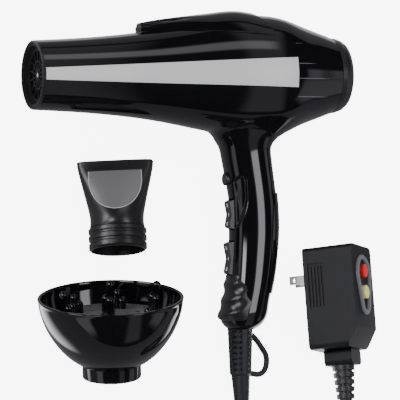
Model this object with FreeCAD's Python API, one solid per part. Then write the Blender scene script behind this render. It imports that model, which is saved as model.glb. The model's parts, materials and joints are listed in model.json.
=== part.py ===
import math
import os

from FreeCAD import Placement, Rotation, Vector
import Part

# A travel hair dryer with its cord and safety plug, and the nozzle and diffuser that go with it.
#
# The dryer is drawn upright in its own frame: the barrel lies along X with the air leaving
# towards -X, the handle hangs down along -Z, and the left side of the dryer is -Y.
# It is then laid on its right side on the table, Z = 0, where the plug, the nozzle and the
# diffuser lie beside it.  All sizes are in millimetres and all angles in degrees.

# ---------------------------------------------------------------- driving dimensions: barrel
# Outer radius of the barrel at stations along its axis, from the nose to the inlet rim.
BARREL_OUTLINE = [
    (-167.5, 25.6), (-136.0, 27.2), (-112.0, 29.0), (-84.0, 32.0), (-59.0, 36.0), (-35.0, 40.7),
    (-14.0, 44.0), (10.0, 45.1), (28.0, 43.2), (46.6, 36.9), (59.0, 32.6), (69.5, 28.9),
]
WALL = 2.2
NOSE_X = -167.5
NOSE_RING_END = -165.6
INLET_X = 69.5
SOCKET_R = 21.75
SOCKET_DEPTH = 3.2
SOCKET_END_X = NOSE_X + 1.0 + SOCKET_DEPTH
RIM_LEAD_R = 23.3
SEAM_X = 27.2
TRIM_DEPTH = 0.9
# The silver side trim: a tapered band, given as (x, lower edge, upper edge).
TRIM_FRONT = (-165.2, -4.1, 4.6)
TRIM_REAR = (27.0, -10.1, 12.3)
# The raised cover on top of the barrel: (x, half width, edge height, ridge height).
FAIRING_STATIONS = [
    (-84.0, 6.5, 30.5, 39.0), (-79.0, 8.0, 30.5, 40.0), (-58.0, 16.5, 32.0, 43.3),
    (-27.0, 27.5, 32.5, 46.7), (-7.0, 32.5, 31.5, 48.4), (8.0, 34.0, 30.5, 46.6),
    (29.0, 34.5, 28.5, 45.0),
]
# The swept line where that cover ends, as seen from the side: (x, z).
FAIRING_REAR = [(2.0, 60.0), (4.5, 46.0), (7.5, 41.8), (10.6, 36.0), (13.3, 28.4), (13.3, 20.0)]

# ---------------------------------------------------------------- driving dimensions: handle
# Handle sections, from inside the barrel to the bottom end: (z, centre x, half depth, half width).
HANDLE_STATIONS = [
    (-30.0, 8.0, 38.0, 26.0), (-38.0, 6.4, 31.6, 23.0), (-43.0, 3.2, 27.6, 20.8),
    (-47.5, 1.2, 23.8, 19.2), (-53.0, 0.7, 19.9, 18.0), (-60.0, 1.5, 18.7, 17.3),
    (-72.5, 3.4, 18.3, 16.9), (-88.0, 5.6, 18.1, 16.6), (-104.0, 6.7, 18.2, 16.6),
    (-120.0, 6.7, 18.1, 16.5), (-136.0, 5.5, 17.7, 16.4), (-150.0, 4.0, 17.3, 16.4),
    (-162.0, 2.0, 16.8, 16.4), (-172.0, -0.3, 17.1, 16.4), (-180.0, -2.0, 17.2, 16.0),
    (-185.0, -2.8, 15.3, 14.4), (-188.5, -3.3, 11.9, 11.8), (-190.0, -3.5, 9.5, 10.2),
]
HANDLE_SQUARENESS = 2.35
BACK_PANEL_PROUD = 1.2
BACK_PANEL_Z = (-163.0, -89.0)
FINGER_GRIP_PROUD = 2.2
FINGER_GRIP_Z = (-184.0, -148.0)
# The joint between the two shells, below the barrel's straight part: (x, z).
SEAM_CURVE = [
    (27.2, -18.0), (21.1, -22.0), (17.4, -28.5), (15.2, -36.0), (14.4, -52.0), (15.4, -76.0),
    (16.4, -104.0), (15.0, -136.0), (9.6, -172.0), (6.5, -194.0),
]

# ---------------------------------------------------------------- driving dimensions: controls
COOL_SHOT_Z = -77.5
COOL_SHOT_R = 4.8
COOL_SHOT_PROUD = 2.5
# Rocker switches on the front of the handle: (name, centre z, half height, proud).
ROCKERS = [("upper", -104.0, 11.0, 2.6), ("lower", -137.0, 12.6, 3.0)]
ROCKER_HALF_WIDTH = 5.4
ROCKER_DEPTH = 6.0
ROCKER_GAP = 0.9
# The pin each rocker turns on: its depth behind the handle's front, radius and half length.
PIVOT_DEPTH = 4.9
PIVOT_R = 0.9
PIVOT_HALF = 6.5
# Screws that hold the two shells together, up the back of the handle.
SCREW_HEIGHTS = [-92.0, -121.0, -156.0]
SCREW_R = 1.3
SCREW_HEAD_R = 2.6
SCREW_HEAD = 0.7
SCREW_SUNK = 0.75

# ---------------------------------------------------------------- driving dimensions: inside
DUCT_IN_R = 28.0
DUCT_OUT_R = 29.6
DUCT_X = (0.0, 57.0)
FAN_X = (41.0, 54.0)
FAN_R = 27.4
FAN_BLADES = 9
FAN_PITCH = 42.0
MOTOR_R = 14.0
MOTOR_X = (2.0, 37.0)
SHAFT_R = 1.2
TUBE_R = 20.3
TUBE_X = (-158.0, -34.0)
HEATER_X = (-150.0, -46.0)
HEATER_TURNS = 11
GRILLE_SPOKES = 14

# ---------------------------------------------------------------- driving dimensions: cord
CORD_R = 3.75
RELIEF_X = -4.9
RELIEF_TOP_Z = -182.0
RELIEF_RIBS = 8
RELIEF_RIB_PITCH = 4.1
RELIEF_END = Vector(-4.9, -259.0, 5.4)
# The hanging loop at the handle's end, as its route in the dryer's XZ plane.
LOOP_ROUTE = [(-2.0, -190.8), (7.0, -196.5), (17.6, -212.0), (13.6, -225.4), (0.0, -222.8)]
LOOP_R = 2.2
# The cord's route on the table: out of the handle, and from the coil up to the plug.
CORD_FROM_HANDLE = [(-4.9, -259.0, 5.4), (-6.4, -289.0, 4.0), (-4.9, -322.0, 4.4)]
CORD_TO_PLUG = [
    (72.9, -322.0, 11.4), (73.6, -303.0, 12.4), (73.2, -284.0, 20.2), (71.4, -267.0, 28.2),
    (70.6, -253.1, 29.1),
]
COIL_CENTRE = (34.0, -322.0)
COIL_RADIUS = 38.9
COIL_WIDTH = 23.0
COIL_HEIGHT = 15.4

# ---------------------------------------------------------------- driving dimensions: plug
PLUG_DEPTH = 39.0
PLUG_LENGTH = 77.0
PLUG_WIDTH = 46.0
PLUG_SPLIT = 18.0
PLUG_WALL = 2.0
PLUG_CENTRE = (70.6, -168.5)
BLADE_LENGTH = 17.0
BLADE_SPACING = 12.7
BLADE_THICKNESS = 1.5
BLADE_HEIGHT = 17.0
PLUG_BUTTON_R = 5.0
PLUG_BUTTONS = [("reset_button", 19.0), ("test_button", 3.0)]

# ---------------------------------------------------------------- driving dimensions: attachments
COLLAR_R = 21.6
NOZZLE_HEIGHT = 67.0
NOZZLE_WAIST = 20.6
NOZZLE_OUTLET = (28.3, 8.0)
DIFFUSER_RIM_R = 53.5
DIFFUSER_HEIGHT = 60.0
DIFFUSER_PLATE_Z = 41.5
# Finger clusters on the diffuser's plate: (angle, distance from the middle, tall finger's height).
FINGER_CLUSTERS = [
    (0.0, 0.0, 29.0), (0.0, 36.5, 25.0), (60.0, 34.5, 14.0), (120.0, 34.5, 14.0),
    (180.0, 36.5, 25.0), (240.0, 34.5, 14.0), (300.0, 34.5, 14.0),
]
FINGER_R = 3.0

# ---------------------------------------------------------------- how the pieces lie on the table
# The dryer lies on the side of its barrel and the end of its handle.
DRYER_ROLL = 9.3
DRYER_LIFT = 45.14
# The plug lies on its back edge and the tip of its lower blade.
PLUG_TILT = math.degrees(
    math.atan2(PLUG_WIDTH / 2 - BLADE_SPACING / 2 - BLADE_THICKNESS / 2, BLADE_LENGTH)
)
NOZZLE_CENTRE = (-101.0, -127.5)
NOZZLE_TURN = -3.0
NOZZLE_ROLL = -22.0
NOZZLE_TIP = -3.0
DIFFUSER_CENTRE = (-116.0, -222.0)
DIFFUSER_TURN = 5.0
DIFFUSER_TIP = 21.0
# The middle of the set's outline on the table, without the cord and the plug.
SET_CENTRE = (-46.58, -105.55)


# ---------------------------------------------------------------- helpers
def box(x0, x1, y0, y1, z0, z1):
    return Part.makeBox(x1 - x0, y1 - y0, z1 - z0, Vector(x0, y0, z0))


def rod(radius, start, end):
    axis = Vector(*end) - Vector(*start)
    return Part.makeCylinder(radius, axis.Length, Vector(*start), axis)


def turned(outline, axis):
    """A solid of revolution: the closed outline lists (distance along the axis, radius)."""
    if axis == "x":
        points = [Vector(along, 0, radius) for along, radius in outline]
        direction = Vector(1, 0, 0)
    else:
        points = [Vector(radius, 0, along) for along, radius in outline]
        direction = Vector(0, 0, 1)
    face = Part.Face(Part.makePolygon(points + points[:1]))
    return face.revolve(Vector(0, 0, 0), direction, 360)


def prism_y(points, y0, y1):
    """A prism along Y from a closed outline of (x, z) points."""
    corners = [Vector(x, y0, z) for x, z in points]
    return Part.Face(Part.makePolygon(corners + corners[:1])).extrude(Vector(0, y1 - y0, 0))


def oval(z, centre_x, half_x, half_y, squareness):
    """A closed smooth section, from an ellipse at squareness 2 to a soft rectangle above it."""
    points = []
    for step in range(24):
        angle = 2 * math.pi * step / 24
        across = math.copysign(abs(math.cos(angle)) ** (2 / squareness), math.cos(angle))
        along = math.copysign(abs(math.sin(angle)) ** (2 / squareness), math.sin(angle))
        points.append(Vector(centre_x + half_x * across, half_y * along, z))
    curve = Part.BSplineCurve()
    curve.interpolate(points, PeriodicFlag=True)
    return Part.Wire(curve.toShape())


def rounded_path(points):
    """Straight runs joined by tangent arcs, and the radii of the arcs."""
    corners = [Vector(*point) for point in points]
    edges = []
    radii = []
    start = corners[0]
    for before, corner, after in zip(corners, corners[1:], corners[2:]):
        into = (corner - before).normalize()
        out = (after - corner).normalize()
        half_turn = into.getAngle(out) / 2
        cut = 0.45 * min((corner - before).Length, (after - corner).Length)
        radius = cut / math.tan(half_turn)
        arc_start = corner - into * cut
        arc_end = corner + out * cut
        centre_way = (out - into).normalize()
        middle = corner + centre_way * (radius / math.cos(half_turn) - radius)
        edges.append(Part.LineSegment(start, arc_start).toShape())
        edges.append(Part.Arc(arc_start, middle, arc_end).toShape())
        radii.append(radius)
        start = arc_end
    edges.append(Part.LineSegment(start, corners[-1]).toShape())
    return Part.Wire(edges), radii


def tube_along(points, radius):
    """A round solid that follows rounded_path."""
    path, radii = rounded_path(points)
    start = Vector(*points[0])
    section = Part.Wire(Part.makeCircle(radius, start, Vector(*points[1]) - start))
    solid = path.makePipeShell([section], True, True)
    return solid, path.Length, radii


def ring_of(shape, count, axis, phase=0.0):
    """Copies of a shape, evenly spaced round an axis through the origin."""
    copies = []
    for step in range(count):
        copy = shape.copy()
        copy.rotate(Vector(0, 0, 0), axis, phase + 360.0 * step / count)
        copies.append(copy)
    return copies


# ---------------------------------------------------------------- the dryer's outer forms
def barrel(inset, x0=-180.0, x1=90.0):
    """The barrel's outer form, made smaller by inset, between two stations."""
    first, last = BARREL_OUTLINE[0], BARREL_OUTLINE[-1]
    stations = [(first[0] - 4, first[1] - 0.2)] + BARREL_OUTLINE + [(last[0] + 4, last[1] - 1.4)]
    curve = Part.BSplineCurve()
    curve.interpolate([Vector(x, 0, r - inset) for x, r in stations])
    start, end = curve.StartPoint, curve.EndPoint
    foot_start, foot_end = Vector(start.x, 0, 0), Vector(end.x, 0, 0)
    lines = [
        Part.LineSegment(end, foot_end).toShape(),
        Part.LineSegment(foot_end, foot_start).toShape(),
        Part.LineSegment(foot_start, start).toShape(),
    ]
    face = Part.Face(Part.Wire([curve.toShape()] + lines))
    solid = face.revolve(Vector(0, 0, 0), Vector(1, 0, 0), 360)
    return solid.common(box(max(x0, start.x), min(x1, end.x), -60, 60, -60, 60))


def handle(inset):
    """The handle's outer form, made smaller by inset."""
    wires = []
    for z, centre, depth, width in HANDLE_STATIONS:
        wires.append(oval(z, centre, depth - inset, width - inset, HANDLE_SQUARENESS))
    return Part.makeLoft(wires, True, False)


def handle_span(z):
    """Where the front and the back of the handle are at a height, on the centre plane."""
    for upper, lower in zip(HANDLE_STATIONS, HANDLE_STATIONS[1:]):
        if lower[0] <= z <= upper[0]:
            share = (upper[0] - z) / (upper[0] - lower[0])
            centre = upper[1] + share * (lower[1] - upper[1])
            half_depth = upper[2] + share * (lower[2] - upper[2])
            return centre - half_depth, centre + half_depth
    raise ValueError("height is off the handle")


def handle_front_x(z):
    return handle_span(z)[0]


def handle_back_x(z):
    return handle_span(z)[1]


def behind_seam():
    """The space behind the joint between the two shells."""
    curve = Part.BSplineCurve()
    curve.interpolate([Vector(x, -70, z) for x, z in SEAM_CURVE])
    top_front = Vector(SEAM_X, -70, 70)
    top_back = Vector(100, -70, 70)
    low_back = Vector(100, -70, SEAM_CURVE[-1][1])
    lines = [
        Part.LineSegment(curve.EndPoint, low_back).toShape(),
        Part.LineSegment(low_back, top_back).toShape(),
        Part.LineSegment(top_back, top_front).toShape(),
        Part.LineSegment(top_front, curve.StartPoint).toShape(),
    ]
    return Part.Face(Part.Wire([curve.toShape()] + lines)).extrude(Vector(0, 140, 0))


# ---------------------------------------------------------------- casings
def trim_band(side):
    """The silver trim's space on one side: side is -1 for the left and 1 for the right."""
    corners = [
        (TRIM_FRONT[0], TRIM_FRONT[1]), (TRIM_FRONT[0], TRIM_FRONT[2]),
        (TRIM_REAR[0], TRIM_REAR[2]), (TRIM_REAR[0], TRIM_REAR[1]),
    ]
    reach = prism_y(corners, min(0, side * 60), max(0, side * 60))
    return barrel(0).cut(barrel(TRIM_DEPTH)).common(reach)


def rocker_window(centre_z, half_height):
    front = handle_front_x(centre_z)
    return box(
        front - 6, front + 8, -ROCKER_HALF_WIDTH - 0.4, ROCKER_HALF_WIDTH + 0.4,
        centre_z - half_height - ROCKER_GAP, centre_z + half_height + ROCKER_GAP,
    )


def screw_ribs():
    """Cross ribs of the front shell that the shell screws go into."""
    inside = handle(WALL - 0.4)
    return [box(6.5, 17.0, -17, 17, z - 3.4, z + 3.4).common(inside) for z in SCREW_HEIGHTS]


def screw_holes(z):
    """The pilot hole in the front shell, and the hole and counterbore in the rear shell."""
    pilot = rod(SCREW_R + 0.05, (5, 0, z), (40, 0, z))
    seat = handle_back_x(z) - SCREW_SUNK - SCREW_HEAD - 0.05
    through = rod(SCREW_R + 0.4, (5, 0, z), (40, 0, z))
    counterbore = rod(SCREW_HEAD_R + 0.1, (seat, 0, z), (40, 0, z))
    return pilot, through.fuse(counterbore)


def shells():
    outer = barrel(0, NOSE_RING_END, INLET_X).fuse(handle(0))
    inner = barrel(WALL).fuse(handle(WALL))
    skin = outer.cut(inner)
    back = behind_seam()
    front = skin.cut(back)
    rear = skin.common(back)
    for rib in screw_ribs():
        front = front.fuse(rib)
    front = front.cut([trim_band(-1), trim_band(1)])
    front = front.cut([rocker_window(z, half) for _, z, half, _ in ROCKERS])
    front_x = handle_front_x(COOL_SHOT_Z)
    hole_start, hole_end = (front_x - 8, 0, COOL_SHOT_Z), (front_x + 8, 0, COOL_SHOT_Z)
    front = front.cut(rod(COOL_SHOT_R + 0.3, hole_start, hole_end))
    relief_hole = rod(10.0, (RELIEF_X, 0, -200), (RELIEF_X, 0, -184))
    front = front.cut([relief_hole, lead_route(3.4), behind_seam()])
    rear = rear.cut(relief_hole)
    for z in SCREW_HEIGHTS:
        pilot, through = screw_holes(z)
        front = front.cut(pilot)
        rear = rear.cut(through)
    return front, rear


def back_panel():
    """The slightly raised grip panel on the back of the handle."""
    low, high = BACK_PANEL_Z
    band = prism_y([(18.5, high), (60, high + 6), (60, low - 6), (13.0, low)], -30, 30)
    proud = handle(0)
    proud.translate(Vector(BACK_PANEL_PROUD, 0, 0))
    return proud.cut(handle(0)).common(band)


def finger_grip():
    """The ribbed grip on the lower front of the handle."""
    low, high = FINGER_GRIP_Z
    band = prism_y([(-40, high + 2), (-9.0, high), (-2.5, low + 8), (-7, low), (-40, low)], -30, 30)
    proud = handle(0)
    proud.translate(Vector(-FINGER_GRIP_PROUD, 0, 0))
    grip = proud.cut(handle(0)).common(band)
    grooves = [rod(3.0, (-24.6, -30, z), (-24.6, 30, z)) for z in (-154.5, -165.5, -176.0)]
    window = rocker_window(ROCKERS[1][1], ROCKERS[1][2] + 0.6)
    return grip.cut(grooves + [window])


def top_fairing():
    """The raised cover on top of the barrel, cut off behind in a swept line."""
    wires = []
    for x, half, edge, ridge in FAIRING_STATIONS:
        left, right = Vector(x, -half, edge), Vector(x, half, edge)
        arc = Part.Arc(left, Vector(x, 0, ridge), right).toShape()
        wires.append(Part.Wire([arc, Part.LineSegment(right, left).toShape()]))
    solid = Part.makeLoft(wires, True, False)
    behind = prism_y(FAIRING_REAR + [(60, 20), (60, 60)], -50, 50)
    return solid.cut([behind, barrel(0)])


def nose_ring():
    """The nose's end ring, with the socket that the attachments push into."""
    outline = [
        (NOSE_X, 24.4), (NOSE_X + 0.5, 25.4), (NOSE_RING_END, 25.7), (NOSE_RING_END, 23.3),
        (-148.0, 23.3), (-148.0, 20.9), (SOCKET_END_X, 20.9),
        (SOCKET_END_X, SOCKET_R), (NOSE_X + 1.0, SOCKET_R), (NOSE_X + 1.0, RIM_LEAD_R),
        (NOSE_X, RIM_LEAD_R),
    ]
    ring = turned(outline, "x")
    notch = box(NOSE_X - 1, NOSE_X + 0.7, -0.45, 0.45, 0, 24.0)
    return ring.cut(ring_of(notch, 40, Vector(1, 0, 0)))


def outlet_grille():
    """The front grille: a rim, thin radial spokes and a hub."""
    x0 = SOCKET_END_X + 0.1
    x1 = x0 + 2.1
    rim = turned([(x0, 17.9), (x0, 20.8), (x1 + 2, 20.8), (x1 + 2, 19.4), (x1, 17.9)], "x")
    middle = turned([(x0 + 0.3, 9.6), (x0 + 0.3, 10.8), (x1, 10.8), (x1, 9.6)], "x")
    hub = turned([(x0, 0), (x0, 3.4), (x1, 3.4), (x1, 0)], "x")
    spokes = ring_of(box(x0 + 0.2, x1, -0.55, 0.55, 3.0, 18.4), GRILLE_SPOKES, Vector(1, 0, 0))
    grille = rim.fuse([middle, hub] + spokes)
    return grille.cut(rod(1.6, (x0 - 1, 0, 0), (x0 + 1.2, 0, 0)))


def grille_stud():
    """The bright stud let in flush at the middle of the grille."""
    x0 = SOCKET_END_X + 0.1
    return rod(1.55, (x0, 0, 0), (x0 + 1.0, 0, 0))


# ---------------------------------------------------------------- inside the barrel
def heat_tube():
    x0, x1 = TUBE_X
    return turned([(x0, TUBE_R - 0.8), (x0, TUBE_R), (x1, TUBE_R), (x1, TUBE_R - 0.8)], "x")


def heater_rings(wire):
    start, end = HEATER_X
    rings = []
    for turn in range(HEATER_TURNS):
        x = start + 8 + (end - start - 22) * turn / (HEATER_TURNS - 1)
        rings.append(Part.makeTorus(15.8, wire, Vector(x, 0, 0), Vector(1, 0, 0)))
    return rings


def heater_boards():
    x0, x1 = HEATER_X
    boards = box(x0, x1, -17.5, 17.5, -0.5, 0.5).fuse(box(x0, x1, -0.5, 0.5, -17.5, 17.5))
    return boards.cut(heater_rings(0.9))


def thermal_cutout():
    return box(-59, -50, 2.0, 8.0, 0.6, 5.0)


def motor_mount():
    """The air duct round the fan, its guide vanes and the spider that holds it in the shell."""
    x0, x1 = DUCT_X
    duct = turned(
        [
            (x1, DUCT_IN_R), (x1, DUCT_OUT_R), (x0, DUCT_OUT_R), (TUBE_X[1] + 1, TUBE_R + 1.7),
            (TUBE_X[1] - 5, TUBE_R + 1.7), (TUBE_X[1] - 5, TUBE_R + 0.1), (TUBE_X[1] + 1, TUBE_R + 0.1),
            (x0, DUCT_IN_R),
        ],
        "x",
    )
    sleeve_in, sleeve_out = MOTOR_R + 0.1, MOTOR_R + 1.6
    sleeve = turned([(8, sleeve_in), (8, sleeve_out), (32, sleeve_out), (32, sleeve_in)], "x")
    spider = turned([(4, 41.2), (4, 42.2), (12, 42.2), (12, 41.2)], "x")
    vanes = ring_of(box(10, 30, -0.7, 0.7, MOTOR_R + 1, DUCT_IN_R + 0.5), 8, Vector(1, 0, 0))
    arms = ring_of(box(5, 11, -1, 1, DUCT_OUT_R - 0.5, 41.7), 6, Vector(1, 0, 0), 30.0)
    return duct.fuse([sleeve, spider] + vanes + arms)


def motor_can():
    x0, x1 = MOTOR_X
    can = turned([(x0, 0), (x0, MOTOR_R), (x1, MOTOR_R), (x1, 0)], "x")
    inner_r = MOTOR_R - 1.2
    hollow = turned([(x0 + 1.2, 0), (x0 + 1.2, inner_r), (x1 - 1.2, inner_r), (x1 - 1.2, 0)], "x")
    return can.cut([hollow, rod(SHAFT_R + 0.05, (x0 - 1, 0, 0), (x1 + 1, 0, 0))])


def motor_rotor():
    """The motor's armature and shaft, which carry the fan."""
    shaft = rod(SHAFT_R, (MOTOR_X[0] - 1.5, 0, 0), (FAN_X[1] - 1, 0, 0))
    return shaft.fuse(rod(10.5, (MOTOR_X[0] + 7, 0, 0), (MOTOR_X[1] - 7, 0, 0)))


def fan_impeller():
    x0, x1 = FAN_X
    hub = turned([(x0, 0), (x0, 9.5), (x1 - 4, 9.5), (x1 - 0.5, 5), (x1 - 0.5, 0)], "x")
    blade = box(-6.6, 6.6, -0.6, 0.6, 8.5, FAN_R + 2)
    blade.rotate(Vector(0, 0, 0), Vector(0, 0, 1), FAN_PITCH)
    blade.translate(Vector((x0 + x1) / 2, 0, 0))
    blades = [copy.common(turned([(x0, 8), (x0, FAN_R), (x1, FAN_R), (x1, 8)], "x"))
              for copy in ring_of(blade, FAN_BLADES, Vector(1, 0, 0))]
    bore = rod(SHAFT_R, (x0 - 1, 0, 0), (x1 - 1, 0, 0))
    return hub.fuse(blades).cut(bore)


def inlet_cover():
    """The pull-off cover over the air inlet, with a slotted back."""
    outline = [
        (INLET_X + 0.4, 28.7), (INLET_X + 4, 28.3), (INLET_X + 8, 26.9), (INLET_X + 10.6, 25.0),
        (INLET_X + 11.5, 22.5), (INLET_X + 11.5, 0), (INLET_X + 9.9, 0), (INLET_X + 9.9, 21.8),
        (INLET_X + 7.5, 23.2), (INLET_X + 0.4, 23.9), (INLET_X - 5.5, 23.9), (INLET_X - 5.5, 25.5),
        (INLET_X + 0.4, 25.5),
    ]
    cover = turned(outline, "x")
    slots = []
    for radius, count in ((7.0, 6), (12.5, 12), (18.0, 18)):
        slot = box(INLET_X + 8, INLET_X + 14, -1.0, 1.0, radius - 2.1, radius + 2.1)
        slots += ring_of(slot, count, Vector(1, 0, 0))
    return cover.cut(slots)


def inlet_filter():
    """The fine mesh disc behind the inlet cover."""
    x0 = INLET_X + 1.0
    disc = turned([(x0, 0), (x0, 23.4), (x0 + 1.4, 23.3), (x0 + 1.4, 0)], "x")
    holes = []
    for row in range(-3, 4):
        for column in range(-3, 4):
            y = 6.0 * column + (3.0 if row % 2 else 0.0)
            z = 5.2 * row
            if math.hypot(y, z) < 19.5:
                holes.append(rod(2.0, (x0 - 1, y, z), (x0 + 3, y, z)))
    return disc.cut(holes)


# ---------------------------------------------------------------- handle controls
def cool_shot_button():
    front = handle_front_x(COOL_SHOT_Z)
    stem = rod(COOL_SHOT_R, (front - COOL_SHOT_PROUD, 0, COOL_SHOT_Z), (front + 5, 0, COOL_SHOT_Z))
    flange = rod(COOL_SHOT_R + 1.2, (front + 4.2, 0, COOL_SHOT_Z), (front + 5.2, 0, COOL_SHOT_Z))
    face = [edge for edge in stem.Edges if edge.BoundBox.XMax < front - COOL_SHOT_PROUD + 0.01]
    return stem.makeFillet(0.8, face).fuse(flange)


def cool_shot_switch():
    front = handle_front_x(COOL_SHOT_Z)
    return box(front + 7.4, front + 14.4, -5, 5, COOL_SHOT_Z - 5.5, COOL_SHOT_Z + 5.5)


def rocker(centre_z, half_height, proud):
    """A rocker switch's cap, with a shallow waist between its raised ends."""
    front = handle_front_x(centre_z)
    low, high = centre_z - half_height, centre_z + half_height
    outline = [
        (front + ROCKER_DEPTH, high - 1.2), (front + ROCKER_DEPTH, low + 1.2), (front + 0.4, low),
        (front - proud, low + 1.4), (front - proud - 0.2, low + 3.2), (front - 1.3, centre_z),
        (front - proud - 0.2, high - 3.2), (front - proud, high - 1.4), (front + 0.4, high),
    ]
    cap = prism_y(outline, -ROCKER_HALF_WIDTH, ROCKER_HALF_WIDTH)
    return cap.fuse(pivot_pin(centre_z, PIVOT_R, PIVOT_HALF))


def pivot_pin(centre_z, radius, half_length):
    x = handle_front_x(centre_z) + PIVOT_DEPTH
    return rod(radius, (x, -half_length, centre_z), (x, half_length, centre_z))


def switch_body(centre_z, half_height):
    """The switch behind a rocker, with the two cheeks that carry the rocker's pin."""
    front = handle_front_x(centre_z)
    low, high = centre_z - half_height + 1, centre_z + half_height - 1
    body = box(front + 8.2, front + 17.2, -7, 7, low, high)
    for side in (-1, 1):
        y0, y1 = sorted((side * 5.75, side * 6.55))
        body = body.fuse(box(front + 3.45, front + 8.4, y0, y1, centre_z - 2.5, centre_z + 2.5))
    return body.cut(pivot_pin(centre_z, PIVOT_R + 0.05, PIVOT_HALF + 2))


def lead_route(radius):
    """The leads from the cord's end up to the heater and the motor, beside the switches."""
    route = [
        (RELIEF_X, 0, -176), (0.0, 4.0, -166), (9.0, 9.6, -152), (11.5, 10.6, -128),
        (11.8, 10.8, -100), (10.6, 10.2, -74), (7.0, 8.0, -50),
    ]
    return tube_along(route, radius)[0]


def cord_clamp():
    block = box(RELIEF_X - 6, RELIEF_X + 6, -9, 9, -181, -176.5)
    return block.cut(rod(3.9, (RELIEF_X, 0, -190), (RELIEF_X, 0, -170)))


def shell_screws():
    screws = []
    for z in SCREW_HEIGHTS:
        top = handle_back_x(z) - SCREW_SUNK
        shank = rod(SCREW_R, (8.5, 0, z), (top, 0, z))
        screws.append(shank.fuse(rod(SCREW_HEAD_R, (top - SCREW_HEAD, 0, z), (top, 0, z))))
    return Part.makeCompound(screws)


# ---------------------------------------------------------------- strain relief and hanging loop
def to_dryer_frame(point):
    """A point on the table, given in the dryer's own upright frame."""
    return dryer_placement().inverse().multVec(point)


def handle_relief():
    """The ribbed rubber sleeve at the handle's end, its hanging loop and its tapered tail."""
    rib_top = -190.4
    flange = RELIEF_TOP_Z - 1.8
    core = [(RELIEF_TOP_Z, 0), (RELIEF_TOP_Z, 11.4), (flange, 11.4), (flange, 9.6), (rib_top, 9.5)]
    pitch = RELIEF_RIB_PITCH
    for rib in range(RELIEF_RIBS):
        top = rib_top - rib * pitch
        radius = 9.5 - 1.3 * (rib + 1) / RELIEF_RIBS
        core += [(top - 0.1, radius - 1.5), (top - 1.6, radius - 1.5), (top - 1.7, radius)]
        core += [(top - pitch, radius)]
    bottom = rib_top - RELIEF_RIBS * pitch
    core += [(bottom - 1.5, 7.2), (bottom - 1.5, 0)]
    sleeve = turned(core, "z")
    cross = box(-9.3, 9.3, -2.2, 2.2, bottom, rib_top)
    cross = cross.fuse(box(-2.2, 2.2, -9.0, 9.0, bottom, rib_top))
    webs = cross.common(turned([(rib_top, 0), (rib_top, 9.4), (bottom, 8.2), (bottom, 0)], "z"))
    sleeve = sleeve.fuse(webs)
    sleeve.translate(Vector(RELIEF_X, 0, 0))
    start = Vector(RELIEF_X, 0, bottom - 0.5)
    end = to_dryer_frame(RELIEF_END)
    tail = Part.makeCone(7.1, 4.4, (end - start).Length, start, end - start)
    loop = tube_along([(x, 0, z) for x, z in LOOP_ROUTE], LOOP_R)[0]
    return sleeve.fuse([tail, loop])


# ---------------------------------------------------------------- plug, with its blades towards -X
def rounded_block(x0, x1, half_y, half_z, radius):
    block = box(x0, x1, -half_y, half_y, -half_z, half_z)
    edges = [edge for edge in block.Edges if edge.BoundBox.XLength > abs(x1 - x0) - 0.1]
    return block.makeFillet(radius, edges)


def plug_form(inset):
    """The plug housing's outer form, with its lower front edge cut back."""
    half_length, half_width = PLUG_LENGTH / 2 - inset, PLUG_WIDTH / 2 - inset
    form = rounded_block(inset, PLUG_DEPTH - inset, half_length, half_width, 4.0)
    low = -PLUG_LENGTH / 2
    corner = Part.Face(Part.makePolygon([
        Vector(PLUG_DEPTH - 9 - inset, low - 1, -40), Vector(PLUG_DEPTH + 1, low - 1, -40),
        Vector(PLUG_DEPTH + 1, low + 16, -40), Vector(PLUG_DEPTH - inset, low + 15, -40),
        Vector(PLUG_DEPTH - 9 - inset, low - 1, -40),
    ])).extrude(Vector(0, 0, 80))
    return form.cut(corner)


def plug_grips():
    """Recesses for the fingers on both sides of the plug's back half, with ribs left standing."""
    pockets = []
    for side in (-1, 1):
        z0, z1 = sorted((side * (PLUG_WIDTH / 2 - 1.1), side * (PLUG_WIDTH / 2 + 1)))
        pocket = box(3.5, 16.5, -8, 26, z0, z1)
        ribs = [box(5.0 + 2.6 * rib, 6.2 + 2.6 * rib, -6, 24, z0, z1) for rib in range(4)]
        pockets.append(pocket.cut(ribs))
    return pockets


def plug_shells():
    hollow = plug_form(PLUG_WALL)
    outer = plug_form(0)
    skin = outer.cut(hollow)
    back = skin.common(box(-1, PLUG_SPLIT, -50, 50, -40, 40)).cut(plug_grips())
    front = skin.common(box(PLUG_SPLIT, 50, -50, 50, -40, 40))
    collar_hole = rod(8.2, (PLUG_SPLIT, -60, 0), (PLUG_SPLIT, -30, 0))
    back = back.cut([collar_hole] + blade_boxes(0.05))
    button_holes = []
    for _, along in PLUG_BUTTONS:
        button_holes.append(rod(PLUG_BUTTON_R + 0.3, (30, along, 0), (60, along, 0)))
    front = front.cut([collar_hole] + button_holes)
    return back, front


def blade_boxes(gap):
    blades = []
    for side in (-1, 1):
        z = side * BLADE_SPACING / 2
        half = BLADE_THICKNESS / 2 + gap
        tall = 3.2 + (0.8 if side < 0 else 0.0) + gap
        low, high = BLADE_HEIGHT - tall, BLADE_HEIGHT + tall
        blades.append(box(-BLADE_LENGTH, 8, low, high, z - half, z + half))
    return blades


def plug_blades():
    """Two flat blades, one a little taller than the other, with their small holes."""
    blades = []
    hole_x = 4 - BLADE_LENGTH
    for blade in blade_boxes(0):
        hole = rod(1.6, (hole_x, BLADE_HEIGHT, -12), (hole_x, BLADE_HEIGHT, 12))
        blades.append(blade.cut(hole))
    return Part.makeCompound(blades)


def plug_bezel():
    """The raised oblong frame round the two buttons."""
    x0, x1 = PLUG_DEPTH, PLUG_DEPTH + 2.2
    outer = rounded_block(x0, x1, 20.5, 17.0, 6.0)
    inner = rounded_block(x0 - 1, x1 + 1, 17.8, 14.2, 4.5)
    ring = outer.cut(inner)
    ring.translate(Vector(0, 11.0, 0))
    return ring


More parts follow.
